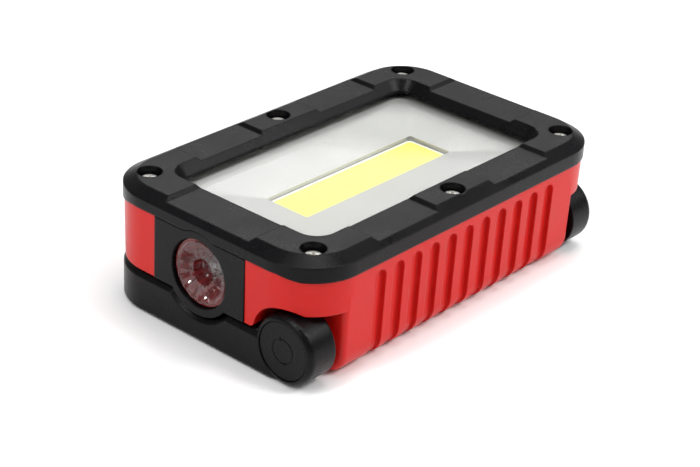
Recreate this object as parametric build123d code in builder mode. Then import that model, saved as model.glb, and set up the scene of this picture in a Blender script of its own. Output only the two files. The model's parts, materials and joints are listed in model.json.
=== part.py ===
from build123d import *
import os
from math import atan, degrees, radians, sqrt, tan

os.makedirs("parts", exist_ok=True)

# A flat work light lying on its back, millimetres.
# +X runs along the length away from the torch, -Y is the hinge side, +Z is the side that shines.
# The origin is the middle of the underside.

# ---- driving dimensions ---------------------------------------------------------------------------
LENGTH = 128.0
WIDTH = 80.0
HEIGHT = 37.0
PARTING_Z = 30.6
END_STEP = 1.1
STEP_TOP_Y = 26.5
STEP_FOOT_Y = 33.0
CORNER_R = 16.5
GAP = 0.1
FIT = 0.05

# bezel
PAD_DROP = 1.0
PAD_RAMP = 1.0
CORNER_PAD_X = 38.0
CORNER_PAD_Y = 16.2
MID_PAD_X = 11.4
CHAMFER_IN = 3.9
CHAMFER_Z = 34.8
WINDOW_TOP = (100.0, 56.4)
WINDOW_LIP = (94.6, 51.0)
WINDOW_LIP_Z = 33.9
LENS_SIZE = (103.0, 57.2)
LENS_R = 6.0
LENS_Z = 31.4
LENS_T = 1.5
TAPE_T = 0.3
BEZEL_WALL = 2.2
SCREW_X = 53.75
SCREW_Y = 30.3
MID_SCREW_Y = 32.8
SCREW_SEAT_Z = 33.2
SCREW_HEAD_R = 2.7
SCREW_HEAD_H = 2.0
SCREW_R = 1.45
SCREW_LENGTH = 8.0
COUNTERBORE_R = 3.55

# housing
TUB_INSET = 0.4
DRAFT = 1.0
WALL = 2.4
ARM_ZONE_Z = 12.8
CORE_X = 50.4
CORE_BACK_Y = 26.6
CORE_EDGE_R = 2.0
GROOVE_COUNT = 11
GROOVE_PITCH = 7.4
GROOVE_WIDTH = 4.5
GROOVE_DEPTH = 1.25
GROOVE_TOP_Z = 28.2
GROOVE_SIDE = 9.0
GROOVE_FADE = 1.2
GROOVE_PROUD = 0.2
GROOVE_OUT = 1.5
HINGE_BOSS_R = 6.0
HINGE_BOSS_LENGTH = 8.3
LOOSE_FIT = 0.15
PLATE_GAP = 0.25
BOSS_R = 3.4
FOOT_R = 7.0
PLATE_BOSS = (38.0, 20.5)
BOARD_BOSS = (46.0, 12.0)

# hinge and stand
HINGE_Y = -30.0
HINGE_Z = 10.2
HINGE_R = 10.0
NOTCH_Y = -28.8
NOTCH_Z = 12.0
NOTCH_R = 9.8
NOTCH_LIP_Z = 20.5
NOTCH_POINT_R = 1.5
HINGE_EDGE_R = 1.9
CAP_R = 8.3
CAP_T = 1.4
STAND_MID_X = -1.35
STAND_IN_X = 52.75
STAND_OUT_X = 62.35
PIVOT_X = 51.75
STAND_BACK_Y = 28.0
STAND_Z = 0.2
STAND_TOP_Z = 11.8
STAND_CHAMFER = 1.2
PIN_R = 2.5
PIN_HEAD_R = 4.5
PIN_THREAD_R = 2.0
INSERT_R = 3.1
MAGNET_R = 4.8
MAGNET_T = 3.0
MAGNET_X = 28.0

# torch
TORCH_Y = 1.0
TORCH_Z = 20.5
BULGE_R = 12.3
TORCH_OPENING_R = 10.0
TORCH_LENS_R = 9.15
TORCH_FACE_X = -63.7
BARREL_STEP_X = -52.2
BARREL_END_X = -46.5
REAR_TUBE_R = 9.2
REAR_BORE_R = 8.2
PANEL_Y = 16.8
SHOULDER_R = 1.5

# light engine
APERTURE = (62.0, 15.2)
PHOSPHOR = (59.4, 13.1)
BOARD_TOP_Z = 27.6
FUNNEL_Z = 29.3
FLANGE_T = 1.0
SINK_T = 1.5

# electronics
CELL_R = 9.2
CELL_LENGTH = 65.0
CELL_X = -7.5
CELL_Z = 12.2
PCB_Z = 17.2
PCB_T = 1.6
PCB_START_X = 34.0
PCB_END_X = 58.6
PCB_WIDTH = 30.0
PORT_Y = 8.3
PORT_Z = 20.4
BUTTON_Y = -7.5
BUTTON_R = 4.6
END_FACE_X = 63.4

end_parting_z = PARTING_Z + END_STEP
tub_length = LENGTH - 2 * TUB_INSET
tub_width = WIDTH - 2 * TUB_INSET
tub_corner = CORNER_R - TUB_INSET
cavity_length = tub_length - 2 * (WALL + TUB_INSET)
cavity_width = tub_width - 2 * (WALL + TUB_INSET)
cavity_corner = tub_corner - WALL - TUB_INSET
draft_slope = tan(radians(DRAFT))
screw_places = [(x, y) for x in (-SCREW_X, SCREW_X) for y in (-SCREW_Y, SCREW_Y)]
screw_places += [(0, -MID_SCREW_Y), (0, MID_SCREW_Y)]
ENDS = (-1, 1)
plate_boss_places = [(a * PLATE_BOSS[0], b * PLATE_BOSS[1]) for a in ENDS for b in ENDS]
board_boss_places = [(BOARD_BOSS[0], b * BOARD_BOSS[1]) for b in ENDS]


def across(x):
    """A plane that faces +X at this x, with sketch x along Y and sketch y along Z."""
    return Plane(origin=(x, 0, 0), x_dir=(0, 1, 0), z_dir=(1, 0, 0))


def shell_outline(y_front, z_top, y_back, z_low, radius, edge_radius):
    """The corners of the housing's core, seen along X: drafted front, round lower front edge."""
    foot = y_front + (z_top - z_low) * draft_slope
    with BuildSketch(Plane.XY, mode=Mode.PRIVATE) as outline:
        with BuildLine():
            Polyline((y_front, z_top), (foot, z_low), (y_back, z_low), (y_back, z_top), close=True)
        make_face()
        fillet(outline.vertices().sort_by_distance((foot, z_low))[0], radius)
        fillet(outline.vertices().sort_by_distance((y_back, z_low))[0], edge_radius)
    return outline.sketch


def end_steps(outer, inner, clearance):
    """The raised ends of the parting line: a wall between two outlines, with a ramp at each corner."""
    step_top_z = PARTING_Z + END_STEP + clearance
    top_y = STEP_TOP_Y + clearance
    foot_y = STEP_FOOT_Y + clearance
    with BuildPart(mode=Mode.PRIVATE) as steps:
        with BuildSketch(Plane.XY.offset(PARTING_Z)):
            RectangleRounded(*outer)
            RectangleRounded(*inner, mode=Mode.SUBTRACT)
        extrude(amount=step_top_z - PARTING_Z)
        with BuildSketch(across(-LENGTH)):
            with BuildLine():
                Polyline((-foot_y, PARTING_Z), (-top_y, step_top_z), (top_y, step_top_z),
                         (foot_y, PARTING_Z), close=True)
            make_face()
        extrude(amount=2 * LENGTH, mode=Mode.INTERSECT)
    return steps.part


# ---- housing: a drafted tub, cut away at the foot for the folded stand ----------------------------
core_top_z = PARTING_Z - 6
core_front_y = -tub_width / 2 + (PARTING_Z - core_top_z) * draft_slope
core_outline = shell_outline(core_front_y, core_top_z, CORE_BACK_Y, 0, FOOT_R, CORE_EDGE_R)
hollow_front_y = -cavity_width / 2
hollow_outline = shell_outline(hollow_front_y, core_top_z, CORE_BACK_Y - WALL, WALL, FOOT_R - WALL, 1.0)

# the notch over each hinge boss, seen along X: an arch, then a level lip out to the front
notch_left_y = NOTCH_Y + sqrt(NOTCH_R ** 2 - (ARM_ZONE_Z - NOTCH_Z) ** 2)
with BuildSketch(Plane.XY, mode=Mode.PRIVATE) as notch_outline:
    with Locations((NOTCH_Y, NOTCH_Z)):
        Circle(NOTCH_R)
    with Locations((NOTCH_Y - CORNER_R, NOTCH_LIP_Z - CORNER_R)):
        Rectangle(2 * CORNER_R, 2 * CORNER_R)
    with Locations((0, ARM_ZONE_Z - CORNER_R)):
        Rectangle(2 * WIDTH, 2 * CORNER_R)
    fillet(notch_outline.vertices().sort_by_distance((notch_left_y, ARM_ZONE_Z))[0], NOTCH_POINT_R)

# the torch's face, seen along X: a plate with the round barrel rising out of its upper edge
plate_top_z = end_parting_z - PLATE_GAP
shoulder_y = sqrt(BULGE_R ** 2 - (plate_top_z - TORCH_Z) ** 2)
with BuildSketch(Plane.XY, mode=Mode.PRIVATE) as torch_outline:
    with Locations((TORCH_Y, (ARM_ZONE_Z + GAP + plate_top_z) / 2)):
        Rectangle(2 * PANEL_Y, plate_top_z - ARM_ZONE_Z - GAP)
    with Locations((TORCH_Y, TORCH_Z)):
        Circle(BULGE_R)
    for end in ENDS:
        shoulder = (TORCH_Y + end * shoulder_y, plate_top_z)
        fillet(torch_outline.vertices().sort_by_distance(shoulder)[0], SHOULDER_R)
torch_clearance = offset(torch_outline.sketch, amount=0.2)

cavity_sizes = (cavity_length, cavity_width, cavity_corner)
housing_steps = end_steps((tub_length, tub_width, tub_corner), cavity_sizes, 0)
bezel_relief = end_steps((LENGTH + 2, WIDTH + 2, CORNER_R + 1),
                         (cavity_length - 0.2, cavity_width - 0.2, cavity_corner), GAP)

foot_axis_y = -tub_width / 2 + (PARTING_Z - FOOT_R) * draft_slope + FOOT_R
groove_slope = tan(radians(GROOVE_SIDE))
groove_places = [GROOVE_PITCH * (k - (GROOVE_COUNT - 1) / 2) for k in range(GROOVE_COUNT)]

with BuildPart() as housing_core:
    with BuildSketch(across(-CORE_X)):
        add(core_outline)
    extrude(amount=2 * CORE_X)
    end_faces = housing_core.faces().filter_by(Axis.X)
    rim_edges = end_faces.edges().filter_by(lambda edge: edge.center().Z < core_top_z - 0.1)
    fillet(rim_edges, CORE_EDGE_R - 0.2)

with BuildPart() as housing_hollow:
    with BuildSketch(Plane.XY.offset(ARM_ZONE_Z + WALL)):
        RectangleRounded(cavity_length, cavity_width, cavity_corner)
    extrude(amount=PARTING_Z - ARM_ZONE_Z - WALL)
    for end in ENDS:
        shelter_x = end * (LENGTH / 2 + CORE_X - WALL) / 2
        shelter_length = LENGTH / 2 - CORE_X + WALL
        with Locations(Location((shelter_x, NOTCH_Y, NOTCH_Z), (0, 90, 0))):
            Cylinder(NOTCH_R + WALL, shelter_length, mode=Mode.SUBTRACT)
        with Locations((shelter_x, NOTCH_Y - CORNER_R, NOTCH_LIP_Z + WALL - CORNER_R)):
            Box(shelter_length, 2 * CORNER_R, 2 * CORNER_R, mode=Mode.SUBTRACT)
    with BuildSketch(across(-CORE_X + WALL)):
        add(hollow_outline)
    extrude(amount=2 * (CORE_X - WALL))

with BuildPart() as housing:
    with BuildSketch(Plane.XY.offset(PARTING_Z)):
        RectangleRounded(tub_length, tub_width, tub_corner)
    extrude(amount=-(PARTING_Z - ARM_ZONE_Z), taper=DRAFT)
    add(housing_steps)
    for end in ENDS:
        with BuildSketch(across(end * (CORE_X - CORE_EDGE_R))):
            add(notch_outline.sketch)
        extrude(amount=end * (LENGTH / 2 - CORE_X + CORE_EDGE_R + 1), mode=Mode.SUBTRACT)
    add(housing_core.part)
    add(housing_hollow.part, mode=Mode.SUBTRACT)
    # finger grooves on both long sides, running out at the foot
    for side in ENDS:
        outward = (0, side, -draft_slope)
        wall_plane = Plane(origin=(0, side * tub_width / 2, PARTING_Z), x_dir=(1, 0, 0), z_dir=outward)
        groove_foot = -GROOVE_WIDTH if side < 0 else ARM_ZONE_Z - GROOVE_WIDTH
        groove_drop = PARTING_Z - (GROOVE_TOP_Z + groove_foot) / 2
        with BuildSketch(wall_plane.offset(GROOVE_PROUD)):
            with Locations([(x, side * groove_drop) for x in groove_places]):
                SlotOverall(GROOVE_TOP_Z - groove_foot, GROOVE_WIDTH, rotation=90)
        extrude(amount=-GROOVE_DEPTH - GROOVE_PROUD, taper=GROOVE_SIDE, mode=Mode.SUBTRACT)
    # the front grooves follow the round foot and fade out under it
    foot_axis = Axis((0, foot_axis_y, FOOT_R - GROOVE_FADE), (1, 0, 0))
    outer_r = FOOT_R + GROOVE_OUT
    outer_half = GROOVE_WIDTH / 2 + (GROOVE_OUT - GROOVE_PROUD) * groove_slope
    floor_half = GROOVE_WIDTH / 2 - (GROOVE_DEPTH + GROOVE_PROUD) * groove_slope
    with BuildSketch(Plane.XY.offset(FOOT_R - GROOVE_FADE)):
        for x in groove_places:
            with BuildLine():
                Polyline((x - outer_half, foot_axis_y - outer_r), (x + outer_half, foot_axis_y - outer_r),
                         (x + floor_half, foot_axis_y - FOOT_R + GROOVE_DEPTH),
                         (x - floor_half, foot_axis_y - FOOT_R + GROOVE_DEPTH), close=True)
            make_face()
    revolve(axis=foot_axis, revolution_arc=80, mode=Mode.SUBTRACT)
    # screw bosses: bezel screws, heat sink screws, board screws
    for x, y in screw_places:
        over_notch = y < 0 and x != 0
        boss_foot = NOTCH_R + NOTCH_Z if over_notch else ARM_ZONE_Z
        with BuildSketch(Plane.XY.offset(PARTING_Z)):
            with Locations((x, y)):
                Circle(BOSS_R)
            if x == 0:
                with Locations((0, y + BOSS_R * y / MID_SCREW_Y)):
                    Rectangle(2.0, 2.4)
        extrude(amount=-(PARTING_Z - boss_foot - WALL / 4))
    with BuildSketch(Plane.XY.offset(WALL / 2)):
        with Locations(plate_boss_places):
            Circle(3.0)
    extrude(amount=BOARD_TOP_Z - 1.0 - SINK_T - WALL / 2)
    with BuildSketch(Plane.XY.offset(WALL / 2)):
        with Locations(board_boss_places):
            Circle(2.6)
    extrude(amount=PCB_Z - WALL / 2)
    # hinge bosses in the end walls of the core; the torch end's stands out to meet its arm
    for end in ENDS:
        hinge_boss_x = STAND_MID_X + end * (PIVOT_X - HINGE_BOSS_LENGTH / 2)
        with Locations(Location((hinge_boss_x, HINGE_Y, HINGE_Z), (0, 90, 0))):
            Cylinder(HINGE_BOSS_R, HINGE_BOSS_LENGTH)
            Cylinder(INSERT_R + 0.02, 12, mode=Mode.SUBTRACT)
    # pilot holes
    with BuildSketch(Plane.XY.offset(PARTING_Z)):
        with Locations(screw_places):
            Circle(SCREW_R + FIT)
    extrude(amount=-(SCREW_LENGTH - 0.5), mode=Mode.SUBTRACT)
    with BuildSketch(Plane.XY.offset(BOARD_TOP_Z)):
        with Locations(plate_boss_places):
            Circle(1.25 + FIT)
    extrude(amount=-12, mode=Mode.SUBTRACT)
    with BuildSketch(Plane.XY.offset(PCB_Z)):
        with Locations(board_boss_places):
            Circle(1.0 + FIT)
    extrude(amount=-7, mode=Mode.SUBTRACT)
    # openings in the end walls for the torch and the end panel
    for end in ENDS:
        with Locations((end * (LENGTH / 2), TORCH_Y, (ARM_ZONE_Z + end_parting_z) / 2)):
            Box(2 * (LENGTH / 2 - cavity_length / 2 + 0.5), 2 * (PANEL_Y + GAP),
                end_parting_z - ARM_ZONE_Z + 1, mode=Mode.SUBTRACT)
    with BuildSketch(across(-LENGTH / 2)):
        with Locations((TORCH_Y, TORCH_Z)):
            Circle(BULGE_R + LOOSE_FIT)
    extrude(amount=LENGTH / 2 - CORE_X + 0.01, mode=Mode.SUBTRACT)
    with BuildSketch(across(-CORE_X - 1)):
        with Locations((TORCH_Y, TORCH_Z)):
            Circle(REAR_TUBE_R + LOOSE_FIT)
    extrude(amount=WALL + 2, mode=Mode.SUBTRACT)
housing.part.label = "housing"
export_step(housing.part, "parts/housing.step")

# ---- bezel: the frame round the window, with raised pads at the screws ----------------------------
low_z = HEIGHT - PAD_DROP
chamfer_angle = degrees(atan(CHAMFER_IN / (HEIGHT - CHAMFER_Z)))
lip_angle = degrees(atan((WINDOW_TOP[0] - WINDOW_LIP[0]) / 2 / (HEIGHT - WINDOW_LIP_Z)))
seat_size = (LENS_SIZE[0] + 0.4, LENS_SIZE[1] + 0.4)
gaps_x = [(-CORNER_PAD_X, -MID_PAD_X), (MID_PAD_X, CORNER_PAD_X)]

with BuildPart() as front_bezel:
    with BuildSketch(Plane.XY.offset(PARTING_Z)):
        RectangleRounded(LENGTH, WIDTH, CORNER_R)
    extrude(amount=CHAMFER_Z - PARTING_Z)
    with BuildSketch(Plane.XY.offset(CHAMFER_Z)):
        RectangleRounded(LENGTH, WIDTH, CORNER_R)
    extrude(amount=HEIGHT - CHAMFER_Z, taper=chamfer_angle)
    # window: a sloping rim above a short upright lip, and the seat for the lens below
    with BuildSketch(Plane.XY.offset(WINDOW_LIP_Z)):
        RectangleRounded(*WINDOW_LIP, 3.6)
    extrude(amount=HEIGHT - WINDOW_LIP_Z, taper=-lip_angle, mode=Mode.SUBTRACT)
    with BuildSketch(Plane.XY.offset(PARTING_Z)):
        RectangleRounded(*WINDOW_LIP, 3.6)
    extrude(amount=WINDOW_LIP_Z - PARTING_Z, mode=Mode.SUBTRACT)
    with BuildSketch(Plane.XY.offset(PARTING_Z)):
        RectangleRounded(*seat_size, LENS_R + 0.2)
    extrude(amount=LENS_Z + LENS_T + TAPE_T - PARTING_Z, mode=Mode.SUBTRACT)
    # low stretches between the pads, with a short ramp at each end
    for start, stop in gaps_x:
        for side in (-1, 1):
            with BuildSketch(Plane.XZ.offset(-side * WIDTH / 2)):
                with BuildLine():
                    Polyline((start, HEIGHT), (start + PAD_RAMP, low_z), (stop - PAD_RAMP, low_z),
                             (stop, HEIGHT), close=True)
                make_face()
            extrude(amount=side * WIDTH / 2, mode=Mode.SUBTRACT)
    for end in ENDS:
        with BuildSketch(across(end * LENGTH / 2)):
            with BuildLine():
                Polyline((-CORNER_PAD_Y, HEIGHT), (-CORNER_PAD_Y + PAD_RAMP, low_z),
                         (CORNER_PAD_Y - PAD_RAMP, low_z), (CORNER_PAD_Y, HEIGHT), close=True)
            make_face()
        extrude(amount=-end * (LENGTH / 2 - CORNER_PAD_X), mode=Mode.SUBTRACT)
    # coring from below, leaving a boss at each screw
    with BuildSketch(Plane.XY.offset(PARTING_Z)):
        RectangleRounded(LENGTH - 2 * BEZEL_WALL, WIDTH - 2 * BEZEL_WALL, CORNER_R - BEZEL_WALL)
        RectangleRounded(seat_size[0] + 3, seat_size[1] + 3, LENS_R + 1.7, mode=Mode.SUBTRACT)
        with Locations(screw_places):
            Circle(COUNTERBORE_R + 1.2, mode=Mode.SUBTRACT)
    extrude(amount=2.6, mode=Mode.SUBTRACT)
    # counterbored screw holes
    with BuildSketch(Plane.XY.offset(SCREW_SEAT_Z)):
        with Locations(screw_places):
            Circle(COUNTERBORE_R)
    extrude(amount=HEIGHT - SCREW_SEAT_Z, mode=Mode.SUBTRACT)
    with BuildSketch(Plane.XY.offset(PARTING_Z)):
        with Locations(screw_places):
            Circle(SCREW_R + 0.2)
    extrude(amount=SCREW_SEAT_Z - PARTING_Z, mode=Mode.SUBTRACT)
    # the lower edge steps up over the raised end walls, and arches over the torch barrel
    add(bezel_relief, mode=Mode.SUBTRACT)
    with BuildSketch(across(-LENGTH / 2)):
        add(torch_clearance)
    extrude(amount=LENGTH / 2 - cavity_length / 2, mode=Mode.SUBTRACT)
    with BuildSketch(across(-LENGTH / 2)):
        with Locations((TORCH_Y, TORCH_Z)):
            Circle(BULGE_R + 0.2)
    extrude(amount=LENGTH / 2 + BARREL_STEP_X + 0.2, mode=Mode.SUBTRACT)
front_bezel.part.label = "front_bezel"
export_step(front_bezel.part, "parts/front_bezel.step")

# ---- bezel screws: pan heads with a cross recess --------------------------------------------------
with BuildPart() as bezel_screws:
    with BuildSketch(Plane.XY.offset(SCREW_SEAT_Z)):
        with Locations(screw_places):
            Circle(SCREW_HEAD_R)
    extrude(amount=SCREW_HEAD_H)
    crown = bezel_screws.faces().sort_by(Axis.Z)[-len(screw_places):]
    fillet(crown.edges(), 0.8)
    with BuildSketch(Plane.XY.offset(SCREW_SEAT_Z)):
        with Locations(screw_places):
            Circle(SCREW_R)
    extrude(amount=-SCREW_LENGTH)
    with BuildSketch(Plane.XY.offset(SCREW_SEAT_Z + SCREW_HEAD_H)):
        with Locations(screw_places):
            Rectangle(2.8, 0.7, rotation=30)
            Rectangle(0.7, 2.8, rotation=30)
    extrude(amount=-1.2, mode=Mode.SUBTRACT)
bezel_screws.part.label = "bezel_screws"
export_step(bezel_screws.part, "parts/bezel_screws.step")

# ---- window lens and the tape that seals it under the lip -----------------------------------------
with BuildPart() as window_lens:
    with BuildSketch(Plane.XY.offset(LENS_Z)):
        RectangleRounded(*LENS_SIZE, LENS_R)
    extrude(amount=LENS_T)
window_lens.part.label = "window_lens"
export_step(window_lens.part, "parts/window_lens.step")

with BuildPart() as lens_tape:
    with BuildSketch(Plane.XY.offset(LENS_Z + LENS_T)):
        RectangleRounded(*LENS_SIZE, LENS_R)
        RectangleRounded(WINDOW_LIP[0] + 2, WINDOW_LIP[1] + 2, 4.6, mode=Mode.SUBTRACT)
    extrude(amount=TAPE_T)
lens_tape.part.label = "lens_tape"
export_step(lens_tape.part, "parts/lens_tape.step")

# ---- reflector: a shallow four-sided funnel down to the lit strip ---------------------------------
funnel_top = (WINDOW_LIP[0] + 0.4, WINDOW_LIP[1] + 0.4)
skin = 1.1

with BuildPart() as reflector:
    with BuildSketch(Plane.XY.offset(LENS_Z - FLANGE_T)):
        RectangleRounded(LENS_SIZE[0] - 0.4, LENS_SIZE[1] - 0.4, LENS_R)
    extrude(amount=FLANGE_T)
    with BuildSketch(Plane.XY.offset(LENS_Z - FLANGE_T)):
        RectangleRounded(funnel_top[0] + 1, funnel_top[1] + 1, 4.5)
    with BuildSketch(Plane.XY.offset(FUNNEL_Z - skin)):
        RectangleRounded(APERTURE[0] + 2 * skin, APERTURE[1] + 2 * skin, 1.6)
    loft(ruled=True)
    with BuildSketch(Plane.XY.offset(BOARD_TOP_Z)):
        RectangleRounded(APERTURE[0] + 2 * skin, APERTURE[1] + 2 * skin, 1.6)
    extrude(amount=FUNNEL_Z - BOARD_TOP_Z)
    with BuildSketch(Plane.XY.offset(LENS_Z)):
        RectangleRounded(*funnel_top, 4.0)
    with BuildSketch(Plane.XY.offset(FUNNEL_Z)):
        RectangleRounded(*APERTURE, 0.6)
    loft(ruled=True, mode=Mode.SUBTRACT)
    with BuildSketch(Plane.XY.offset(BOARD_TOP_Z)):
        RectangleRounded(*APERTURE, 0.6)
    extrude(amount=FUNNEL_Z - BOARD_TOP_Z, mode=Mode.SUBTRACT)
reflector.part.label = "reflector"
export_step(reflector.part, "parts/reflector.step")

# ---- light strip: board, silicone dam and phosphor ------------------------------------------------
with BuildPart() as cob_board:
    with BuildSketch(Plane.XY.offset(BOARD_TOP_Z)):
        Rectangle(70, 20)
        with Locations((-32.8, 7.5), (-32.8, -7.5), (32.8, 7.5), (32.8, -7.5)):
            Circle(1.1, mode=Mode.SUBTRACT)
    extrude(amount=-1.0)
cob_board.part.label = "cob_board"
export_step(cob_board.part, "parts/cob_board.step")

with BuildPart() as cob_dam:
    with BuildSketch(Plane.XY.offset(BOARD_TOP_Z)):
        RectangleRounded(PHOSPHOR[0] + 1.4, PHOSPHOR[1] + 1.4, 1.9)
        RectangleRounded(*PHOSPHOR, 1.2, mode=Mode.SUBTRACT)
    extrude(amount=0.6)
cob_dam.part.label = "cob_dam"
export_step(cob_dam.part, "parts/cob_dam.step")

with BuildPart() as cob_phosphor:
    with BuildSketch(Plane.XY.offset(BOARD_TOP_Z)):
        RectangleRounded(*PHOSPHOR, 1.2)
    extrude(amount=0.5)
cob_phosphor.part.label = "cob_phosphor"
export_step(cob_phosphor.part, "parts/cob_phosphor.step")

# ---- heat sink plate under the strip, on four bosses ----------------------------------------------
sink_top_z = BOARD_TOP_Z - 1.0
with BuildPart() as heat_sink_plate:
    with BuildSketch(Plane.XY.offset(sink_top_z)):
        RectangleRounded(84, 48, 3)
        with Locations(plate_boss_places):
            Circle(1.5, mode=Mode.SUBTRACT)
        with Locations((39.5, 0)):
            RectangleRounded(4.0, 12, 1.2, mode=Mode.SUBTRACT)
    extrude(amount=-SINK_T)
heat_sink_plate.part.label = "heat_sink_plate"
export_step(heat_sink_plate.part, "parts/heat_sink_plate.step")

with BuildPart() as heat_sink_screws:
    with BuildSketch(Plane.XY.offset(sink_top_z)):
        with Locations(plate_boss_places):
            Circle(2.2)
    extrude(amount=1.3)
    fillet(heat_sink_screws.faces().sort_by(Axis.Z)[-4:].edges(), 0.5)
    with BuildSketch(Plane.XY.offset(sink_top_z)):
        with Locations(plate_boss_places):
            Circle(1.25)
    extrude(amount=-8)
heat_sink_screws.part.label = "heat_sink_screws"
export_step(heat_sink_screws.part, "parts/heat_sink_screws.step")

# ---- torch: black face plate with its barrel, red holder, clear lens, star board and emitter ------
with BuildPart() as torch_bezel:
    with BuildSketch(across(TORCH_FACE_X)):
        add(torch_outline.sketch)
    extrude(amount=2.4)
    with BuildSketch(across(TORCH_FACE_X + 2.4)):
        with Locations((TORCH_Y, (ARM_ZONE_Z + WALL + plate_top_z) / 2)):
            Rectangle(2 * PANEL_Y - 2, plate_top_z - ARM_ZONE_Z - WALL - 4 * GAP)
    extrude(amount=1.0)
    with BuildSketch(across(TORCH_FACE_X)):
        with Locations((TORCH_Y, TORCH_Z)):
            Circle(BULGE_R)
    extrude(amount=BARREL_STEP_X - TORCH_FACE_X)
    with BuildSketch(across(BARREL_STEP_X)):
        with Locations((TORCH_Y, TORCH_Z)):
            Circle(REAR_TUBE_R)
    extrude(amount=BARREL_END_X - BARREL_STEP_X)
    with BuildSketch(across(TORCH_FACE_X)):
        with Locations((TORCH_Y, TORCH_Z)):
            Circle(TORCH_OPENING_R)
    extrude(amount=2.2, mode=Mode.SUBTRACT)
    with BuildSketch(across(TORCH_FACE_X + 2.2)):
        with Locations((TORCH_Y, TORCH_Z)):
            Circle(TORCH_OPENING_R - 0.3)
    extrude(amount=BARREL_STEP_X - 1.4 - TORCH_FACE_X - 2.2, mode=Mode.SUBTRACT)
    with BuildSketch(across(BARREL_STEP_X - 1.5)):
        with Locations((TORCH_Y, TORCH_Z)):
            Circle(REAR_BORE_R)
    extrude(amount=BARREL_END_X - BARREL_STEP_X + 2, mode=Mode.SUBTRACT)
torch_bezel.part.label = "torch_bezel"
export_step(torch_bezel.part, "parts/torch_bezel.step")

holder_back_x = BARREL_STEP_X - 1.45
lens_back_x = holder_back_x + 0.3
with BuildPart() as torch_holder:
    with BuildSketch(Plane.XZ.offset(-TORCH_Y)):
        with BuildLine():
            Polyline((-62.5, TORCH_Z + 9.65), (holder_back_x, TORCH_Z + 9.65),
                     (holder_back_x, TORCH_Z + 4.6), (-61.9, TORCH_Z + 8.75),
                     (-61.9, TORCH_Z + TORCH_LENS_R + 0.05), (-62.5, TORCH_Z + TORCH_LENS_R + 0.05),
                     close=True)
        make_face()
    revolve(axis=Axis((0, TORCH_Y, TORCH_Z), (1, 0, 0)))
torch_holder.part.label = "torch_holder"
export_step(torch_holder.part, "parts/torch_holder.step")

with BuildPart() as torch_lens:
    with BuildSketch(Plane.XZ.offset(-TORCH_Y)):
        with BuildLine():
            Polyline((-57.4, TORCH_Z), (-57.9, TORCH_Z + 3.0), (-63.2, TORCH_Z + 3.3),
                     (-63.2, TORCH_Z + 8.8), (-62.9, TORCH_Z + TORCH_LENS_R),
                     (-62.0, TORCH_Z + TORCH_LENS_R), (-62.0, TORCH_Z + 8.6),
                     (lens_back_x, TORCH_Z + 4.3), (lens_back_x, TORCH_Z + 2.8),
                     (-55.4, TORCH_Z + 2.5), (-55.9, TORCH_Z), close=True)
        make_face()
    revolve(axis=Axis((0, TORCH_Y, TORCH_Z), (1, 0, 0)))
torch_lens.part.label = "torch_lens"
export_step(torch_lens.part, "parts/torch_lens.step")

star_x = holder_back_x + 2.6
with BuildPart() as torch_led_board:
    with BuildSketch(across(star_x)):
        with Locations((TORCH_Y, TORCH_Z)):
            Circle(REAR_BORE_R - 0.1)
            with PolarLocations(REAR_BORE_R - 0.1, 6):
                Circle(1.0, mode=Mode.SUBTRACT)
    extrude(amount=1.2)
torch_led_board.part.label = "torch_led_board"
export_step(torch_led_board.part, "parts/torch_led_board.step")

with BuildPart() as torch_emitter:
    with BuildSketch(across(star_x - 0.6)):
        with Locations((TORCH_Y, TORCH_Z)):
            RectangleRounded(3.4, 3.4, 0.3)
    extrude(amount=0.6)
    with BuildSketch(across(star_x - 1.2)):
        with Locations((TORCH_Y, TORCH_Z)):
            Circle(1.3)
    extrude(amount=0.6)
torch_emitter.part.label = "torch_emitter"
export_step(torch_emitter.part, "parts/torch_emitter.step")

# ---- battery: one cylindrical cell in a cradle, with nickel tabs and a foam pad on top ------------
cell_low_x = CELL_X - CELL_LENGTH / 2
with BuildPart() as battery_cell:
    with BuildSketch(across(cell_low_x)):
        with Locations((0, CELL_Z)):
            Circle(CELL_R)
    extrude(amount=CELL_LENGTH - 1.2)
    fillet(battery_cell.edges(), 0.6)
    with BuildSketch(across(cell_low_x + CELL_LENGTH - 1.2)):
        with Locations((0, CELL_Z)):
            Circle(3.0)
    extrude(amount=1.2)
battery_cell.part.label = "battery_cell"
export_step(battery_cell.part, "parts/battery_cell.step")

with BuildPart() as battery_cradle:
    with BuildSketch(Plane.XY.offset(WALL + FIT)):
        with Locations((CELL_X, 0)):
            Rectangle(CELL_LENGTH + 5, 2 * CELL_R + 3)
    extrude(amount=9.0)
    with BuildSketch(across(cell_low_x - 0.5)):
        with Locations((0, CELL_Z)):
            Circle(CELL_R + 0.1)
    extrude(amount=CELL_LENGTH + 1.0, mode=Mode.SUBTRACT)
battery_cradle.part.label = "battery_cradle"
export_step(battery_cradle.part, "parts/battery_cradle.step")

with BuildPart() as battery_tabs:
    for x in (cell_low_x - 0.25, cell_low_x + CELL_LENGTH + 0.05):
        with BuildSketch(across(x)):
            with Locations((0, CELL_Z + 1.0)):
                Rectangle(6, 8)
        extrude(amount=0.2)
battery_tabs.part.label = "battery_tabs"
export_step(battery_tabs.part, "parts/battery_tabs.step")

with BuildPart() as battery_pad:
    with BuildSketch(Plane.XY.offset(CELL_Z + CELL_R + FIT)):
        with Locations((CELL_X, 0)):
            Rectangle(50, 8)
    extrude(amount=sink_top_z - SINK_T - CELL_Z - CELL_R - 2 * FIT)
battery_pad.part.label = "battery_pad"
export_step(battery_pad.part, "parts/battery_pad.step")

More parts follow.
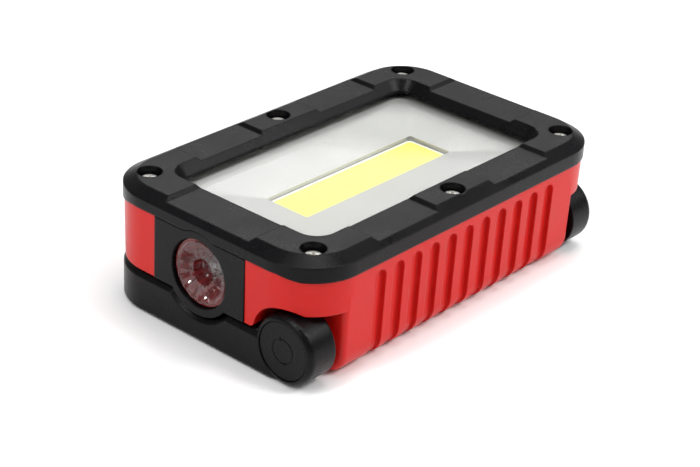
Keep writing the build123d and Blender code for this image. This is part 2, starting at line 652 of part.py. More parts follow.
# ---- control board with its parts, switch and charging socket -------------------------------------
pcb_top_z = PCB_Z + PCB_T
with BuildPart() as control_board:
    with BuildSketch(Plane.XY.offset(PCB_Z)):
        with Locations(((PCB_START_X + PCB_END_X) / 2, 0)):
            Rectangle(PCB_END_X - PCB_START_X, PCB_WIDTH)
        with Locations(board_boss_places):
            Circle(1.2, mode=Mode.SUBTRACT)
    extrude(amount=PCB_T)
control_board.part.label = "control_board"
export_step(control_board.part, "parts/control_board.step")

component_boxes = [(41.0, 5.6, 5.0, 6.0, 1.5), (46.5, -1.5, 5.0, 5.0, 2.6), (40.5, -4.5, 3.0, 4.0, 1.2),
                   (51.0, 1.5, 1.6, 0.8, 0.6), (46.5, 5.5, 1.6, 0.8, 0.6), (49.5, -7.0, 2.0, 1.3, 0.9)]
with BuildPart() as board_components:
    for x, y, length, width, height in component_boxes:
        with Locations((x, y, pcb_top_z)):
            Box(length, width, height, align=(Align.CENTER, Align.CENTER, Align.MIN))
board_components.part.label = "board_components"
export_step(board_components.part, "parts/board_components.step")

with BuildPart() as board_screws:
    with BuildSketch(Plane.XY.offset(pcb_top_z)):
        with Locations(board_boss_places):
            Circle(1.9)
    extrude(amount=1.3)
    with BuildSketch(Plane.XY.offset(pcb_top_z)):
        with Locations(board_boss_places):
            Circle(1.0)
    extrude(amount=-7)
board_screws.part.label = "board_screws"
export_step(board_screws.part, "parts/board_screws.step")

with BuildPart() as tact_switch:
    with Locations((54.6, BUTTON_Y, pcb_top_z + 1.75)):
        Box(3.6, 7.0, 3.5)
    with BuildSketch(across(56.4)):
        with Locations((0 + BUTTON_Y, PORT_Z)):
            RectangleRounded(2.6, 1.4, 0.4)
    extrude(amount=0.6)
tact_switch.part.label = "tact_switch"
export_step(tact_switch.part, "parts/tact_switch.step")

with BuildPart() as charging_socket:
    with BuildSketch(across(54.3)):
        with Locations((PORT_Y, PORT_Z)):
            RectangleRounded(8.94, 3.2, 1.5)
    extrude(amount=7.3)
    with BuildSketch(across(55.5)):
        with Locations((PORT_Y, PORT_Z)):
            RectangleRounded(8.3, 2.6, 1.25)
    extrude(amount=6.2, mode=Mode.SUBTRACT)
    with BuildSketch(across(55.5)):
        with Locations((PORT_Y, PORT_Z)):
            Rectangle(6.6, 0.7)
    extrude(amount=4.9)
charging_socket.part.label = "charging_socket"
export_step(charging_socket.part, "parts/charging_socket.step")

# ---- end panel with the button, the port cover and the charge light -------------------------------
panel_back_x = 60.9
recess_x = 61.7
cover_low_z = 17.6
cover_high_z = 23.8
bead_x = 62.65
bead_z = 17.0
bead_r = 0.85
cover_width = 13.0
with BuildPart() as end_panel:
    with BuildSketch(across(panel_back_x)):
        with Locations((TORCH_Y, (ARM_ZONE_Z + GAP + plate_top_z) / 2)):
            Rectangle(2 * PANEL_Y, plate_top_z - ARM_ZONE_Z - GAP)
    extrude(amount=END_FACE_X - panel_back_x)
    with BuildSketch(across(panel_back_x - 1.0)):
        with Locations((TORCH_Y, (ARM_ZONE_Z + WALL + plate_top_z) / 2)):
            Rectangle(2 * PANEL_Y - 2, plate_top_z - ARM_ZONE_Z - WALL - 4 * GAP)
    extrude(amount=1.0)
    with BuildSketch(across(panel_back_x - 2)):
        with Locations((BUTTON_Y, PORT_Z)):
            Circle(BUTTON_R + 0.3)
    extrude(amount=6, mode=Mode.SUBTRACT)
    with BuildSketch(across(panel_back_x - 2)):
        with Locations((BUTTON_Y, PORT_Z)):
            Circle(BUTTON_R + 0.9)
    extrude(amount=2.0, mode=Mode.SUBTRACT)
    with BuildSketch(across(panel_back_x - 2)):
        with Locations((PORT_Y, PORT_Z)):
            RectangleRounded(9.3, 3.6, 1.7)
    extrude(amount=6, mode=Mode.SUBTRACT)
    with BuildSketch(across(recess_x)):
        with Locations((PORT_Y, (cover_low_z + cover_high_z) / 2 - 0.85)):
            RectangleRounded(cover_width + 0.7, cover_high_z - cover_low_z + 2.3, 1.2)
    extrude(amount=3, mode=Mode.SUBTRACT)
    with Locations(Location((bead_x, PORT_Y, bead_z), (90, 0, 0))):
        Cylinder(bead_r + 0.3, 10, mode=Mode.SUBTRACT)
    with BuildSketch(across(panel_back_x - 2)):
        with Locations((0, PORT_Z)):
            Circle(1.1 + FIT)
    extrude(amount=6, mode=Mode.SUBTRACT)
end_panel.part.label = "end_panel"
export_step(end_panel.part, "parts/end_panel.step")

with BuildPart() as charge_light:
    with BuildSketch(across(57.5)):
        with Locations((0, PORT_Z)):
            Circle(1.1)
    extrude(amount=END_FACE_X - 57.5)
charge_light.part.label = "charge_light"
export_step(charge_light.part, "parts/charge_light.step")

with BuildPart() as power_button:
    with BuildSketch(across(panel_back_x - 0.2)):
        with Locations((BUTTON_Y, PORT_Z)):
            Circle(BUTTON_R)
    extrude(amount=LENGTH / 2 - panel_back_x + 0.2)
    fillet(power_button.edges().group_by(Axis.X)[-1], 0.5)
    with BuildSketch(across(LENGTH / 2 - 0.25)):
        with Locations((BUTTON_Y, PORT_Z)):
            Circle(2.9)
            Circle(2.4, mode=Mode.SUBTRACT)
    extrude(amount=1, mode=Mode.SUBTRACT)
    with BuildSketch(across(panel_back_x - 1.1)):
        with Locations((BUTTON_Y, PORT_Z)):
            Circle(BUTTON_R + 0.5)
    extrude(amount=0.9)
    with BuildSketch(across(58.1)):
        with Locations((BUTTON_Y, PORT_Z)):
            Circle(1.4)
    extrude(amount=panel_back_x - 1.1 - 58.1)
power_button.part.label = "power_button"
export_step(power_button.part, "parts/power_button.step")

with BuildPart() as port_cover:
    with BuildSketch(across(62.3)):
        with Locations((PORT_Y, (cover_low_z + cover_high_z) / 2)):
            RectangleRounded(cover_width, cover_high_z - cover_low_z, 1.0)
    extrude(amount=0.9)
    with BuildSketch(across(61.9)):
        with Locations((PORT_Y, PORT_Z)):
            RectangleRounded(7.6, 1.9, 0.9)
    extrude(amount=0.5)
    with Locations(Location((bead_x, PORT_Y, bead_z), (90, 0, 0))):
        Cylinder(bead_r, 9)
    with Locations((bead_x + 0.1, PORT_Y, (bead_z + cover_low_z) / 2 + 0.2)):
        Box(0.6, 8.6, cover_low_z - bead_z + 0.4)
port_cover.part.label = "port_cover"
export_step(port_cover.part, "parts/port_cover.step")

# ---- stand: a U that wraps the two ends and the back, turning on two shoulder screws --------------
stand_out_y = WIDTH / 2 - 0.3
recess_r = BULGE_R + 0.9
fillet_r = 2.5
fillet_z = STAND_TOP_Z + fillet_r
fillet_y = HINGE_Y + sqrt((HINGE_R + fillet_r) ** 2 - (fillet_z - HINGE_Z) ** 2)
touch_y = HINGE_Y + (fillet_y - HINGE_Y) * HINGE_R / (HINGE_R + fillet_r)
touch_z = HINGE_Z + (fillet_z - HINGE_Z) * HINGE_R / (HINGE_R + fillet_r)
boss_length = STAND_OUT_X - STAND_IN_X
head_x = STAND_OUT_X - CAP_T - 2.9

with BuildPart() as stand_boss:
    with BuildSketch(across(STAND_MID_X + STAND_IN_X)):
        with Locations((HINGE_Y, HINGE_Z)):
            Circle(HINGE_R)
    extrude(amount=boss_length)
    fillet(stand_boss.edges().group_by(Axis.X)[-1], HINGE_EDGE_R)

with BuildPart() as stand_frame:
    stand_core_z = STAND_TOP_Z - STAND_CHAMFER
    with BuildSketch(Plane.XY.offset(STAND_Z)):
        with Locations((STAND_MID_X, 0)):
            RectangleRounded(2 * STAND_OUT_X, 2 * stand_out_y, tub_corner)
    extrude(amount=stand_core_z - STAND_Z)
    foot_edges = stand_frame.edges().group_by(Axis.Z)[0]
    fillet(foot_edges, 1.0)
    with BuildSketch(Plane.XY.offset(stand_core_z)):
        with Locations((STAND_MID_X, 0)):
            RectangleRounded(2 * STAND_OUT_X, 2 * stand_out_y, tub_corner)
    extrude(amount=STAND_CHAMFER, taper=45)
    with BuildSketch(Plane.XY.offset(STAND_Z - 1)):
        with Locations((STAND_MID_X, STAND_BACK_Y - 50)):
            RectangleRounded(2 * STAND_IN_X, 100, 5)
    extrude(amount=STAND_TOP_Z + 2, mode=Mode.SUBTRACT)
    with Locations((0, HINGE_Y - CORNER_R, HINGE_Z)):
        Box(LENGTH, 2 * CORNER_R, 4 * HINGE_R, mode=Mode.SUBTRACT)
    add(stand_boss.part)
    add(mirror(stand_boss.part, about=across(STAND_MID_X), mode=Mode.PRIVATE))
    # a concave fillet where each arm meets its boss
    for end in ENDS:
        with BuildSketch(across(STAND_MID_X + end * (STAND_IN_X + STAND_OUT_X - STAND_CHAMFER) / 2)):
            with BuildLine():
                Polyline((fillet_y, STAND_TOP_Z), (touch_y, touch_z), (touch_y - 3, HINGE_Z),
                         (fillet_y, HINGE_Z), close=True)
            make_face()
            with Locations((fillet_y, fillet_z)):
                Circle(fillet_r, mode=Mode.SUBTRACT)
        extrude(amount=(boss_length - STAND_CHAMFER) / 2, both=True)
    # hollow round the torch barrel, with a chamfered outer edge
    with BuildSketch(across(STAND_MID_X - STAND_OUT_X - 1)):
        with Locations((TORCH_Y, TORCH_Z)):
            Circle(recess_r)
    extrude(amount=boss_length + 2, mode=Mode.SUBTRACT)
    with BuildSketch(across(STAND_MID_X - STAND_OUT_X)):
        with Locations((TORCH_Y, TORCH_Z)):
            Circle(recess_r + STAND_CHAMFER)
    extrude(amount=STAND_CHAMFER, taper=45, mode=Mode.SUBTRACT)
    # cap seats, screw head pockets and the bores for the shoulder screws
    for end in ENDS:
        for radius, start, depth in ((CAP_R + 0.15, STAND_OUT_X - CAP_T, 3.0),
                                     (PIN_HEAD_R + 1.0, head_x, 4.0), (PIN_R + FIT, STAND_IN_X - 1, 12.0)):
            with BuildSketch(across(STAND_MID_X + end * start)):
                with Locations((HINGE_Y, HINGE_Z)):
                    Circle(radius)
            extrude(amount=end * depth, mode=Mode.SUBTRACT)
    # magnet pockets in the back of the crossbar, and coring from the inside
    for x in (-MAGNET_X, MAGNET_X):
        with BuildSketch(Plane.XZ.offset(-stand_out_y)):
            with Locations((x, (STAND_Z + STAND_TOP_Z) / 2)):
                Circle(MAGNET_R + 0.02)
        extrude(amount=MAGNET_T + 0.2, mode=Mode.SUBTRACT)
    with BuildSketch(Plane.XZ.offset(-STAND_BACK_Y)):
        with GridLocations(24, 1, 4, 1):
            with Locations((0, (STAND_Z + STAND_TOP_Z) / 2)):
                RectangleRounded(21, 6.6, 1.0)
    extrude(amount=-6.0, mode=Mode.SUBTRACT)
stand_frame.part.label = "stand_frame"
export_step(stand_frame.part, "parts/stand_frame.step")

with BuildPart() as hinge_caps:
    for end in ENDS:
        with BuildSketch(across(STAND_MID_X + end * (STAND_OUT_X - CAP_T))):
            with Locations((HINGE_Y, HINGE_Z)):
                Circle(CAP_R)
        extrude(amount=end * (CAP_T - 0.25))
        with BuildSketch(across(STAND_MID_X + end * (STAND_OUT_X - 0.45))):
            with Locations((HINGE_Y, HINGE_Z)):
                Circle(3.65)
                Circle(3.35, mode=Mode.SUBTRACT)
                with PolarLocations(3.5, 2, start_angle=75):
                    Rectangle(1.3, 0.3)
        extrude(amount=end * 1.0, mode=Mode.SUBTRACT)
hinge_caps.part.label = "hinge_caps"
export_step(hinge_caps.part, "parts/hinge_caps.step")

with BuildPart() as stand_magnets:
    with BuildSketch(Plane.XZ.offset(-stand_out_y + 0.2)):
        with Locations((-MAGNET_X, (STAND_Z + STAND_TOP_Z) / 2), (MAGNET_X, (STAND_Z + STAND_TOP_Z) / 2)):
            Circle(MAGNET_R)
    extrude(amount=MAGNET_T)
stand_magnets.part.label = "stand_magnets"
export_step(stand_magnets.part, "parts/stand_magnets.step")

# ---- hinge hardware: shoulder screws, spring washers, thrust washers and brass inserts ------------
with BuildPart() as hinge_screws:
    for end in ENDS:
        for radius, start, length in ((PIN_HEAD_R, head_x + 0.9, 1.8),
                                      (PIN_R, PIVOT_X, head_x + 0.9 - PIVOT_X),
                                      (PIN_THREAD_R, PIVOT_X - 7.0, 7.0)):
            with BuildSketch(across(STAND_MID_X + end * start)):
                with Locations((HINGE_Y, HINGE_Z)):
                    Circle(radius)
            extrude(amount=end * length)
        with BuildSketch(across(STAND_MID_X + end * (head_x + 1.7))):
            with Locations((HINGE_Y, HINGE_Z)):
                RegularPolygon(1.5, 6)
        extrude(amount=end * 2.0, mode=Mode.SUBTRACT)
hinge_screws.part.label = "hinge_screws"
export_step(hinge_screws.part, "parts/hinge_screws.step")

with BuildPart() as spring_washers:
    for end in ENDS:
        with BuildSketch(across(STAND_MID_X + end * (head_x + 0.2))):
            with Locations((HINGE_Y, HINGE_Z)):
                Circle(PIN_HEAD_R)
                Circle(PIN_R + FIT, mode=Mode.SUBTRACT)
        extrude(amount=end * 0.6)
spring_washers.part.label = "spring_washers"
export_step(spring_washers.part, "parts/spring_washers.step")

with BuildPart() as thrust_washers:
    for end in ENDS:
        with BuildSketch(across(STAND_MID_X + end * PIVOT_X)):
            with Locations((HINGE_Y, HINGE_Z)):
                Circle(7.0)
                Circle(PIN_R + FIT, mode=Mode.SUBTRACT)
        extrude(amount=end * (STAND_IN_X - PIVOT_X - 0.2))
thrust_washers.part.label = "thrust_washers"
export_step(thrust_washers.part, "parts/thrust_washers.step")

with BuildPart() as hinge_inserts:
    for end in ENDS:
        with BuildSketch(across(STAND_MID_X + end * (PIVOT_X - 7.5))):
            with Locations((HINGE_Y, HINGE_Z)):
                Circle(INSERT_R)
                Circle(PIN_THREAD_R + 0.02, mode=Mode.SUBTRACT)
        extrude(amount=end * 7.3)
hinge_inserts.part.label = "hinge_inserts"
export_step(hinge_inserts.part, "parts/hinge_inserts.step")

# ---- wiring inside the housing --------------------------------------------------------------------
wire_r = 0.45
cell_end_x = CELL_X + CELL_LENGTH / 2


def wire(points, bend):
    """One insulated wire along straight runs joined by arcs."""
    route = FilletPolyline(*points, radius=bend)
    with BuildPart() as strand:
        with BuildSketch(Plane(origin=route @ 0, z_dir=route % 0)):
            Circle(wire_r)
        sweep(path=route)
    return strand.part


pad_z = BOARD_TOP_Z + wire_r + 0.01
strip_wires = Compound([wire([(34.6, y, pad_z), (39.5, y, pad_z), (39.5, y, pcb_top_z + 0.05)], 1.5)
                        for y in (-1.2, 1.2)])
strip_wires.label = "strip_wires"
export_step(strip_wires, "parts/strip_wires.step")
torch_wires = Compound([wire([(star_x + 1.25, y, TORCH_Z), (star_x + 5, y, TORCH_Z), (-37, y + 7, 19.6),
                              (32, y + 7, 19.6), (35.5, y + 7, pcb_top_z + wire_r + 0.05)], 2.0)
                        for y in (3.0, 4.4)])
torch_wires.label = "torch_wires"
export_step(torch_wires, "parts/torch_wires.step")
cell_wires = Compound([wire([(cell_end_x + 0.8, y, 15.5), (cell_end_x + 3.5, y, 15.5),
                             (cell_end_x + 5.5, y, pcb_top_z + 1.3), (36.5, y, pcb_top_z + 0.5)], 1.0)
                       for y in (-9.0, -7.0)])
cell_wires.label = "cell_wires"
export_step(cell_wires, "parts/cell_wires.step")
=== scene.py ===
import json
import math

import bmesh
import bpy
from mathutils import Matrix, Vector


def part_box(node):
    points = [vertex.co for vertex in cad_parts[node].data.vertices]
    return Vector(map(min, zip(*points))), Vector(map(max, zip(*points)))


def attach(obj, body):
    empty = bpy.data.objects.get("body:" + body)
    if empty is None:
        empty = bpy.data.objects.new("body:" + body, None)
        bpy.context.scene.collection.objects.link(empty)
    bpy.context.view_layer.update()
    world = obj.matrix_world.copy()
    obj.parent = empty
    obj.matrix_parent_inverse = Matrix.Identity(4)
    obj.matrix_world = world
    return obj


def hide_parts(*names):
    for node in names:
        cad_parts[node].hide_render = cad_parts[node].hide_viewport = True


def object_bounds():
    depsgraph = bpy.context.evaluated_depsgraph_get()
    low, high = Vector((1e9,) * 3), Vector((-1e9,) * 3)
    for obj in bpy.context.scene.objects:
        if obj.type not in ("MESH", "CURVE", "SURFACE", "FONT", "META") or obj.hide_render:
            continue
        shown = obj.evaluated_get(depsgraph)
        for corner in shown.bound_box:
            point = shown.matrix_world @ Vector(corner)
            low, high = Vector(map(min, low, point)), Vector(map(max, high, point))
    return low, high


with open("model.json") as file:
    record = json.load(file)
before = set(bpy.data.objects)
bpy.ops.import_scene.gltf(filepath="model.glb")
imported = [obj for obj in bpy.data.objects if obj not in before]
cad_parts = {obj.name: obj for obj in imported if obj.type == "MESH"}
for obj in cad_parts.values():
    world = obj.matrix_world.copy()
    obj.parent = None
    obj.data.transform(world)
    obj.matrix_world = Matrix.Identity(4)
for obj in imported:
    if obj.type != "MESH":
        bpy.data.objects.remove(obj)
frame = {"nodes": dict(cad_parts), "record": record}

cad_low, cad_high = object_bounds()
nodes = frame["nodes"]
MM = 0.001

# ---- camera ---------------------------------------------------------------------------------------
AZIMUTH = math.radians(-50.14)
ELEVATION = math.radians(27.54)
ROLL = math.radians(3.42)
DISTANCE = 545.7 * MM
LENS = 97.72
AIM = Vector((0, 0, 20 * MM))
SLIDE_RIGHT = -2.13 * MM
SLIDE_UP = -8.69 * MM


def add_camera():
    back = Vector((math.sin(AZIMUTH) * math.cos(ELEVATION), -math.cos(AZIMUTH) * math.cos(ELEVATION),
                   math.sin(ELEVATION)))
    right = Vector((0, 0, 1)).cross(back).normalized()
    up = back.cross(right)
    place = AIM + back * DISTANCE + right * SLIDE_RIGHT + up * SLIDE_UP
    cam_right = math.cos(ROLL) * right + math.sin(ROLL) * up
    cam_up = math.cos(ROLL) * up - math.sin(ROLL) * right
    turn = Matrix((cam_right, cam_up, back)).transposed().to_4x4()
    data = bpy.data.cameras.new("camera")
    data.lens = LENS
    data.sensor_width = 36
    data.clip_start = 0.01
    camera = bpy.data.objects.new("camera", data)
    bpy.context.scene.collection.objects.link(camera)
    camera.matrix_world = Matrix.Translation(place) @ turn
    bpy.context.scene.camera = camera


# ---- light and floor ------------------------------------------------------------------------------
WORLD_LIGHT = 0.20
SUN_LIGHT = 1.2
SUN_ANGLE = math.radians(30)
SUN_FROM = Vector((0.06, -0.10, 0.99))
# place, height of the point it faces, size and watts of each soft light, metres
LIGHTS = {
    "far_side": ((0.70, 0.58, 0.72), 0.03, (1.2, 0.5), 4.8),
    "long_side": ((0.60, -0.68, 0.66), 0.02, (0.6, 0.4), 4.0),
    "torch_end": ((-0.88, 0.10, 0.60), 0.02, (0.5, 0.4), 2.0),
    "left_box": ((-0.56, 0.08, 0.92), 0.03, (0.20, 0.20), 3.6),
    "right_box": ((0.23, -0.63, 0.84), 0.03, (0.20, 0.20), 3.6),
}
FLOOR_HALF = 3.0
FLOOR_DROP = 0.02 * MM


def add_light(name, place, aim_height, size, watts):
    data = bpy.data.lights.new(name, "AREA")
    data.shape = "RECTANGLE"
    data.size, data.size_y = size
    data.energy = watts
    light = bpy.data.objects.new(name, data)
    bpy.context.scene.collection.objects.link(light)
    light.location = place
    light.rotation_euler = (Vector((0, 0, aim_height)) - Vector(place)).to_track_quat("-Z", "Y").to_euler()


def add_studio():
    world = bpy.data.worlds.new("studio")
    bpy.context.scene.world = world
    world.use_nodes = True
    background = world.node_tree.nodes["Background"]
    background.inputs["Color"].default_value = (1.0, 1.0, 1.0, 1)
    background.inputs["Strength"].default_value = WORLD_LIGHT
    sun = bpy.data.lights.new("overhead", "SUN")
    sun.energy = SUN_LIGHT
    sun.angle = SUN_ANGLE
    overhead = bpy.data.objects.new("overhead", sun)
    bpy.context.scene.collection.objects.link(overhead)
    overhead.rotation_euler = SUN_FROM.to_track_quat("Z", "Y").to_euler()
    for name, (place, aim_height, size, watts) in LIGHTS.items():
        add_light(name, place, aim_height, size, watts)
    mesh = bpy.data.meshes.new("floor")
    corners = [(x * FLOOR_HALF, y * FLOOR_HALF, 0) for x, y in ((-1, -1), (1, -1), (1, 1), (-1, 1))]
    mesh.from_pydata(corners, [], [(0, 1, 2, 3)])
    floor = bpy.data.objects.new("floor", mesh)
    bpy.context.scene.collection.objects.link(floor)
    floor.location.z = cad_low.z - FLOOR_DROP
    pale = surface("pale_floor", (0.92, 0.92, 0.92), 0.8, grain=(300, 0.02), mottle=0.004)
    floor.data.materials.append(pale)
    bpy.context.scene.view_settings.view_transform = "Standard"


# ---- materials --------------------------------------------------------------------------------------
BROAD_SCALE = 90.0
SCUFF_SCALE = 420.0
BUMP_DEPTH = 0.1 * MM
EDGE_SAMPLES = 6
# upward part of the normal below which a reflector face counts as an upright wall, and where that ends
WALL_NORMAL = (0.1, 0.3)
FRESNEL_POWER = 5.0
# pitch of the dies along and across the strip
DIE_PITCH = (3.0 * MM, 3.2 * MM)
DIE_SHADE = 0.35
# painted glow: the unlit phosphor gives off a little light of its own so that it stays bright
PAINTED_PHOSPHOR_GLOW = 0.10


def graph(name):
    material = bpy.data.materials.new(name)
    material.use_nodes = True
    tree = material.node_tree
    tree.nodes.clear()
    out = tree.nodes.new("ShaderNodeOutputMaterial")
    return material, tree, out


def noise(tree, coords, scale, detail=3.0, rough=0.6):
    node = tree.nodes.new("ShaderNodeTexNoise")
    node.inputs["Scale"].default_value = scale
    node.inputs["Detail"].default_value = detail
    node.inputs["Roughness"].default_value = rough
    tree.links.new(coords, node.inputs["Vector"])
    return node.outputs["Fac"]


def spread(tree, value, low, high, start=0.3, stop=0.7):
    node = tree.nodes.new("ShaderNodeMapRange")
    node.inputs["From Min"].default_value = start
    node.inputs["From Max"].default_value = stop
    node.inputs["To Min"].default_value = low
    node.inputs["To Max"].default_value = high
    tree.links.new(value, node.inputs["Value"])
    return node.outputs["Result"]


def bump(tree, height, strength, under=None):
    node = tree.nodes.new("ShaderNodeBump")
    node.inputs["Strength"].default_value = strength
    node.inputs["Distance"].default_value = BUMP_DEPTH
    tree.links.new(height, node.inputs["Height"])
    if under is not None:
        tree.links.new(under, node.inputs["Normal"])
    return node.outputs["Normal"]


def surface(name, color, roughness, metal=0.0, grain=(3000, 0.05), mottle=0.04, spread_rough=0.06,
            coat=0.0, specular=0.5, fleck=0.0, scuff=0.0, stretch=(1, 1, 1), edge=0.0, wall_gloss=0.0):
    """A solid material: mottled colour, varied roughness and a fine bump.

    edge rounds the shading at corners, in millimetres; wall_gloss is the roughness of upright faces.
    """
    material, tree, out = graph(name)
    shader = tree.nodes.new("ShaderNodeBsdfPrincipled")
    tree.links.new(shader.outputs["BSDF"], out.inputs["Surface"])
    place = tree.nodes.new("ShaderNodeTexCoord")
    mapping = tree.nodes.new("ShaderNodeMapping")
    mapping.inputs["Scale"].default_value = stretch
    tree.links.new(place.outputs["Object"], mapping.inputs["Vector"])
    coords = mapping.outputs["Vector"]
    broad = noise(tree, coords, BROAD_SCALE, 4.0)
    fine = noise(tree, coords, grain[0], 2.0)
    tint = tree.nodes.new("ShaderNodeMixRGB")
    tint.inputs["Color1"].default_value = (*[max(0.0, c * (1 - mottle)) for c in color], 1)
    tint.inputs["Color2"].default_value = (*[min(1.0, c * (1 + mottle)) for c in color], 1)
    tree.links.new(spread(tree, broad, 0.0, 1.0), tint.inputs["Fac"])
    shade = tint.outputs["Color"]
    if fleck > 0:
        dots = tree.nodes.new("ShaderNodeMixRGB")
        dots.blend_type = "ADD"
        dots.inputs["Color2"].default_value = (fleck, fleck, fleck, 1)
        tree.links.new(spread(tree, fine, 0.0, 1.0, 0.56, 0.72), dots.inputs["Fac"])
        tree.links.new(shade, dots.inputs["Color1"])
        shade = dots.outputs["Color"]
    tree.links.new(shade, shader.inputs["Base Color"])
    rough = spread(tree, broad, roughness - spread_rough, roughness + spread_rough)
    if scuff > 0:
        marks = noise(tree, coords, SCUFF_SCALE, 8.0, 0.75)
        lift = tree.nodes.new("ShaderNodeMath")
        lift.operation = "ADD"
        lift.use_clamp = True
        tree.links.new(rough, lift.inputs[0])
        tree.links.new(spread(tree, marks, 0.0, scuff, 0.6, 0.75), lift.inputs[1])
        rough = lift.outputs["Value"]
    if wall_gloss > 0:
        axes = tree.nodes.new("ShaderNodeSeparateXYZ")
        tree.links.new(place.outputs["Normal"], axes.inputs["Vector"])
        steep = tree.nodes.new("ShaderNodeMix")
        steep.inputs["A"].default_value = wall_gloss
        tree.links.new(spread(tree, axes.outputs["Z"], 0.0, 1.0, *WALL_NORMAL), steep.inputs["Factor"])
        tree.links.new(rough, steep.inputs["B"])
        rough = steep.outputs["Result"]
    tree.links.new(rough, shader.inputs["Roughness"])
    shader.inputs["Metallic"].default_value = metal
    shader.inputs["Specular IOR Level"].default_value = specular
    shader.inputs["Coat Weight"].default_value = coat
    soft = None
    if edge > 0:
        round_off = tree.nodes.new("ShaderNodeBevel")
        round_off.samples = EDGE_SAMPLES
        round_off.inputs["Radius"].default_value = edge * MM
        soft = round_off.outputs["Normal"]
    normal = bump(tree, fine, grain[1], soft)
    tree.links.new(normal, shader.inputs["Normal"])
    return material


def clear_sheet(name, smear, tint, gloss, smooth=(0.02, 0.10)):
    """Clear plastic: seen through, with a reflection that grows at a shallow angle.

    gloss is the share reflected face on and edge on; smooth is the range of its roughness.
    """
    material, tree, out = graph(name)
    through = tree.nodes.new("ShaderNodeBsdfTransparent")
    through.inputs["Color"].default_value = (*tint, 1)
    shine = tree.nodes.new("ShaderNodeBsdfGlossy")
    shine.inputs["Color"].default_value = (1, 1, 1, 1)
    place = tree.nodes.new("ShaderNodeTexCoord")
    smears = noise(tree, place.outputs["Object"], smear, 5.0)
    tree.links.new(spread(tree, smears, *smooth), shine.inputs["Roughness"])
    facing = tree.nodes.new("ShaderNodeLayerWeight")
    facing.inputs["Blend"].default_value = 0.5
    power = tree.nodes.new("ShaderNodeMath")
    power.operation = "POWER"
    power.inputs[1].default_value = FRESNEL_POWER
    tree.links.new(facing.outputs["Facing"], power.inputs[0])
    share = spread(tree, power.outputs["Value"], gloss[0], gloss[1], 0.0, 1.0)
    mix = tree.nodes.new("ShaderNodeMixShader")
    tree.links.new(share, mix.inputs["Fac"])
    tree.links.new(through.outputs["BSDF"], mix.inputs[1])
    tree.links.new(shine.outputs["BSDF"], mix.inputs[2])
    tree.links.new(mix.outputs["Shader"], out.inputs["Surface"])
    return material


def phosphor(name):
    """Yellow silicone over rows of tiny dies, which show as faint dots, with a faint painted glow that
    keeps it bright though the strip is unlit.
    """
    material, tree, out = graph(name)
    shader = tree.nodes.new("ShaderNodeBsdfPrincipled")
    place = tree.nodes.new("ShaderNodeTexCoord")
    mapping = tree.nodes.new("ShaderNodeMapping")
    mapping.inputs["Scale"].default_value = (1 / DIE_PITCH[0], 1 / DIE_PITCH[1], 0)
    tree.links.new(place.outputs["Object"], mapping.inputs["Vector"])
    cells = tree.nodes.new("ShaderNodeTexVoronoi")
    cells.inputs["Randomness"].default_value = 0.0
    cells.inputs["Scale"].default_value = 1.0
    tree.links.new(mapping.outputs["Vector"], cells.inputs["Vector"])
    dots = spread(tree, cells.outputs["Distance"], 1.0, 0.0, 0.10, 0.20)
    cloud = noise(tree, place.outputs["Object"], 260.0, 4.0)
    base = tree.nodes.new("ShaderNodeMixRGB")
    base.inputs["Color1"].default_value = (0.74, 0.69, 0.10, 1)
    base.inputs["Color2"].default_value = (0.72, 0.66, 0.085, 1)
    tree.links.new(spread(tree, cloud, 0.0, 1.0), base.inputs["Fac"])
    dark = tree.nodes.new("ShaderNodeMixRGB")
    dark.inputs["Color2"].default_value = (0.84, 0.76, 0.14, 1)
    soften = tree.nodes.new("ShaderNodeMath")
    soften.operation = "MULTIPLY"
    soften.inputs[1].default_value = DIE_SHADE
    tree.links.new(dots, soften.inputs[0])
    tree.links.new(soften.outputs["Value"], dark.inputs["Fac"])
    tree.links.new(base.outputs["Color"], dark.inputs["Color1"])
    tree.links.new(dark.outputs["Color"], shader.inputs["Base Color"])
    # painted glow: the phosphor colour is also sent out as a weak emission, though no lamp is lit
    tree.links.new(dark.outputs["Color"], shader.inputs["Emission Color"])
    shader.inputs["Emission Strength"].default_value = PAINTED_PHOSPHOR_GLOW
    tree.links.new(spread(tree, cloud, 0.38, 0.5), shader.inputs["Roughness"])
    tree.links.new(bump(tree, cloud, 0.2), shader.inputs["Normal"])
    tree.links.new(shader.outputs["BSDF"], out.inputs["Surface"])
    return material


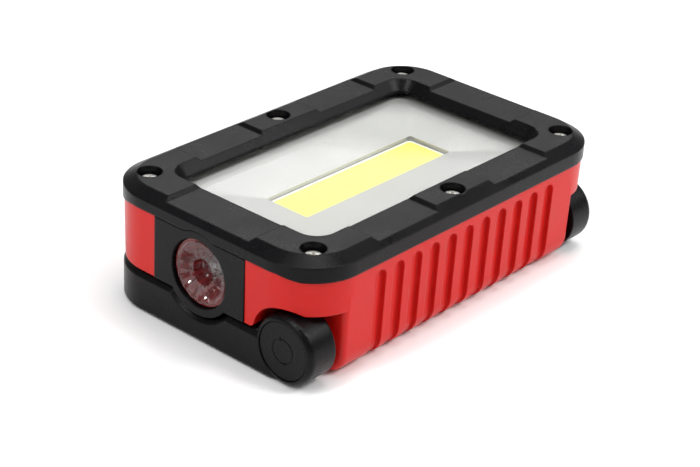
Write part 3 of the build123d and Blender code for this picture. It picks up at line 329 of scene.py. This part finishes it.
def make_materials():
    return {
        "red_plastic": surface("red_plastic", (0.575, 0.007, 0.004), 0.36, grain=(2600, 0.20), scuff=0.10,
                               specular=0.24, edge=0.35),
        "black_plastic": surface("black_plastic", (0.0030, 0.0028, 0.0035), 0.30,
                                 grain=(2400, 0.8), fleck=0.003, scuff=0.03, edge=0.7, specular=0.13),
        "bright_screw": surface("bright_screw", (0.86, 0.84, 0.80), 0.42, metal=1.0,
                                grain=(900, 0.15), edge=0.15),
        "clear_window": clear_sheet("clear_window", 60.0, (0.985, 0.99, 0.985), (0.012, 0.5)),
        "foam_tape": surface("foam_tape", (0.03, 0.03, 0.03), 0.85, grain=(2500, 0.5)),
        "silver_reflector": surface("silver_reflector", (0.455, 0.45, 0.44), 0.40, metal=0.50,
                                    grain=(5200, 0.10), mottle=0.015, wall_gloss=0.12),
        "white_board": surface("white_board", (0.83, 0.83, 0.80), 0.35, grain=(1800, 0.05)),
        "white_silicone": surface("white_silicone", (0.85, 0.85, 0.78), 0.4, grain=(1500, 0.1)),
        "phosphor": phosphor("phosphor"),
        "aluminium_plate": surface("aluminium_plate", (0.72, 0.73, 0.74), 0.38, metal=1.0, grain=(700, 0.2),
                                   stretch=(0.1, 1, 1)),
        "steel_screw": surface("steel_screw", (0.5, 0.5, 0.5), 0.33, metal=1.0, grain=(1200, 0.1)),
        "red_holder": surface("red_holder", (0.20, 0.006, 0.006), 0.30, grain=(900, 0.05), coat=0.3),
        "clear_lens": clear_sheet("clear_lens", 500.0, (0.88, 0.87, 0.88), (0.07, 1.0), (0.01, 0.03)),
        "cell_sleeve": surface("cell_sleeve", (0.02, 0.09, 0.30), 0.25, grain=(300, 0.1)),
        "nickel": surface("nickel", (0.62, 0.61, 0.58), 0.28, metal=1.0, grain=(900, 0.12)),
        "green_board": surface("green_board", (0.01, 0.14, 0.05), 0.3, grain=(500, 0.1)),
        "chip": surface("chip", (0.02, 0.02, 0.022), 0.5, grain=(2600, 0.3)),
        "light_pipe": surface("light_pipe", (0.72, 0.75, 0.75), 0.25, grain=(700, 0.05)),
        "black_rubber": surface("black_rubber", (0.014, 0.014, 0.015), 0.62, grain=(3000, 0.35), edge=0.3),
        "white_nylon": surface("white_nylon", (0.78, 0.77, 0.70), 0.5, grain=(1500, 0.15)),
        "brass_insert": surface("brass_insert", (0.72, 0.50, 0.20), 0.3, metal=1.0, grain=(900, 0.1)),
        "wire_sleeve": surface("wire_sleeve", (0.42, 0.015, 0.015), 0.35, grain=(900, 0.1)),
    }


def dress_nodes(materials):
    for entry in frame["record"]["subparts"]:
        piece = nodes[entry["node"]]
        piece.data.materials.clear()
        piece.data.materials.append(materials[entry["material_slot"]])


# ---- torch lens: a moulded collimator with fluted rim, deep bore and a small inner lens --------------
LENS_STEPS = 96
LENS_FLUTES = 16
# distance behind the torch face and radius, millimetres, from the rim round to the back of the cone
LENS_PROFILE = [(2.3, 9.1), (1.3, 9.15), (0.75, 9.0), (0.6, 8.6), (0.8, 7.2), (1.1, 5.6), (1.35, 4.2),
                (1.7, 3.75), (3.2, 3.55), (4.9, 3.3), (5.2, 3.0), (4.9, 2.2), (4.6, 1.2), (4.5, 0.01)]
LENS_BACK = [(6.9, 0.01), (7.3, 1.6), (8.6, 2.7), (10.2, 3.2), (10.4, 4.2),
             (6.6, 6.5), (3.0, 8.5), (2.3, 9.1)]
# how far the flutes sink each of these rings of the front, millimetres
FLUTE_RINGS = {3: 0.20, 4: 0.70, 5: 0.60, 6: 0.25}
# the rings of the outer cone are fluted inward by this share of their radius
CONE_RING = len(LENS_PROFILE) + 5
CONE_WAVE = 0.08
WELD = 0.02 * MM


def torch_lens_piece(materials):
    low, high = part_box("torch_bezel")
    lens_low, lens_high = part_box("torch_lens")
    face_x = low.x
    centre_y = (lens_low.y + lens_high.y) / 2
    centre_z = (lens_low.z + lens_high.z) / 2
    mesh = bmesh.new()
    rings = []
    for level, (depth, radius) in enumerate(LENS_PROFILE + LENS_BACK):
        ring = []
        for step in range(LENS_STEPS):
            angle = 2 * math.pi * step / LENS_STEPS
            wave = abs((step * LENS_FLUTES / LENS_STEPS) % 1.0 - 0.5) * 2
            sink = FLUTE_RINGS.get(level, 0.0) * wave
            reach = radius * (1 - CONE_WAVE * wave) if level >= CONE_RING else radius
            ring.append(mesh.verts.new((face_x + (depth + sink) * MM,
                                        centre_y + reach * math.cos(angle) * MM,
                                        centre_z + reach * math.sin(angle) * MM)))
        rings.append(ring)
    for ring, after in zip(rings, rings[1:]):
        for step in range(LENS_STEPS):
            further = (step + 1) % LENS_STEPS
            mesh.faces.new((ring[step], ring[further], after[further], after[step]))
    bmesh.ops.remove_doubles(mesh, verts=mesh.verts, dist=WELD)
    bmesh.ops.recalc_face_normals(mesh, faces=mesh.faces)
    data = bpy.data.meshes.new("torch_collimator")
    mesh.to_mesh(data)
    mesh.free()
    piece = bpy.data.objects.new("torch_collimator", data)
    bpy.context.scene.collection.objects.link(piece)
    data.materials.append(materials["clear_lens"])
    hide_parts("torch_lens")
    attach(piece, "lamp")


add_camera()
add_studio()
materials = make_materials()
dress_nodes(materials)
torch_lens_piece(materials)
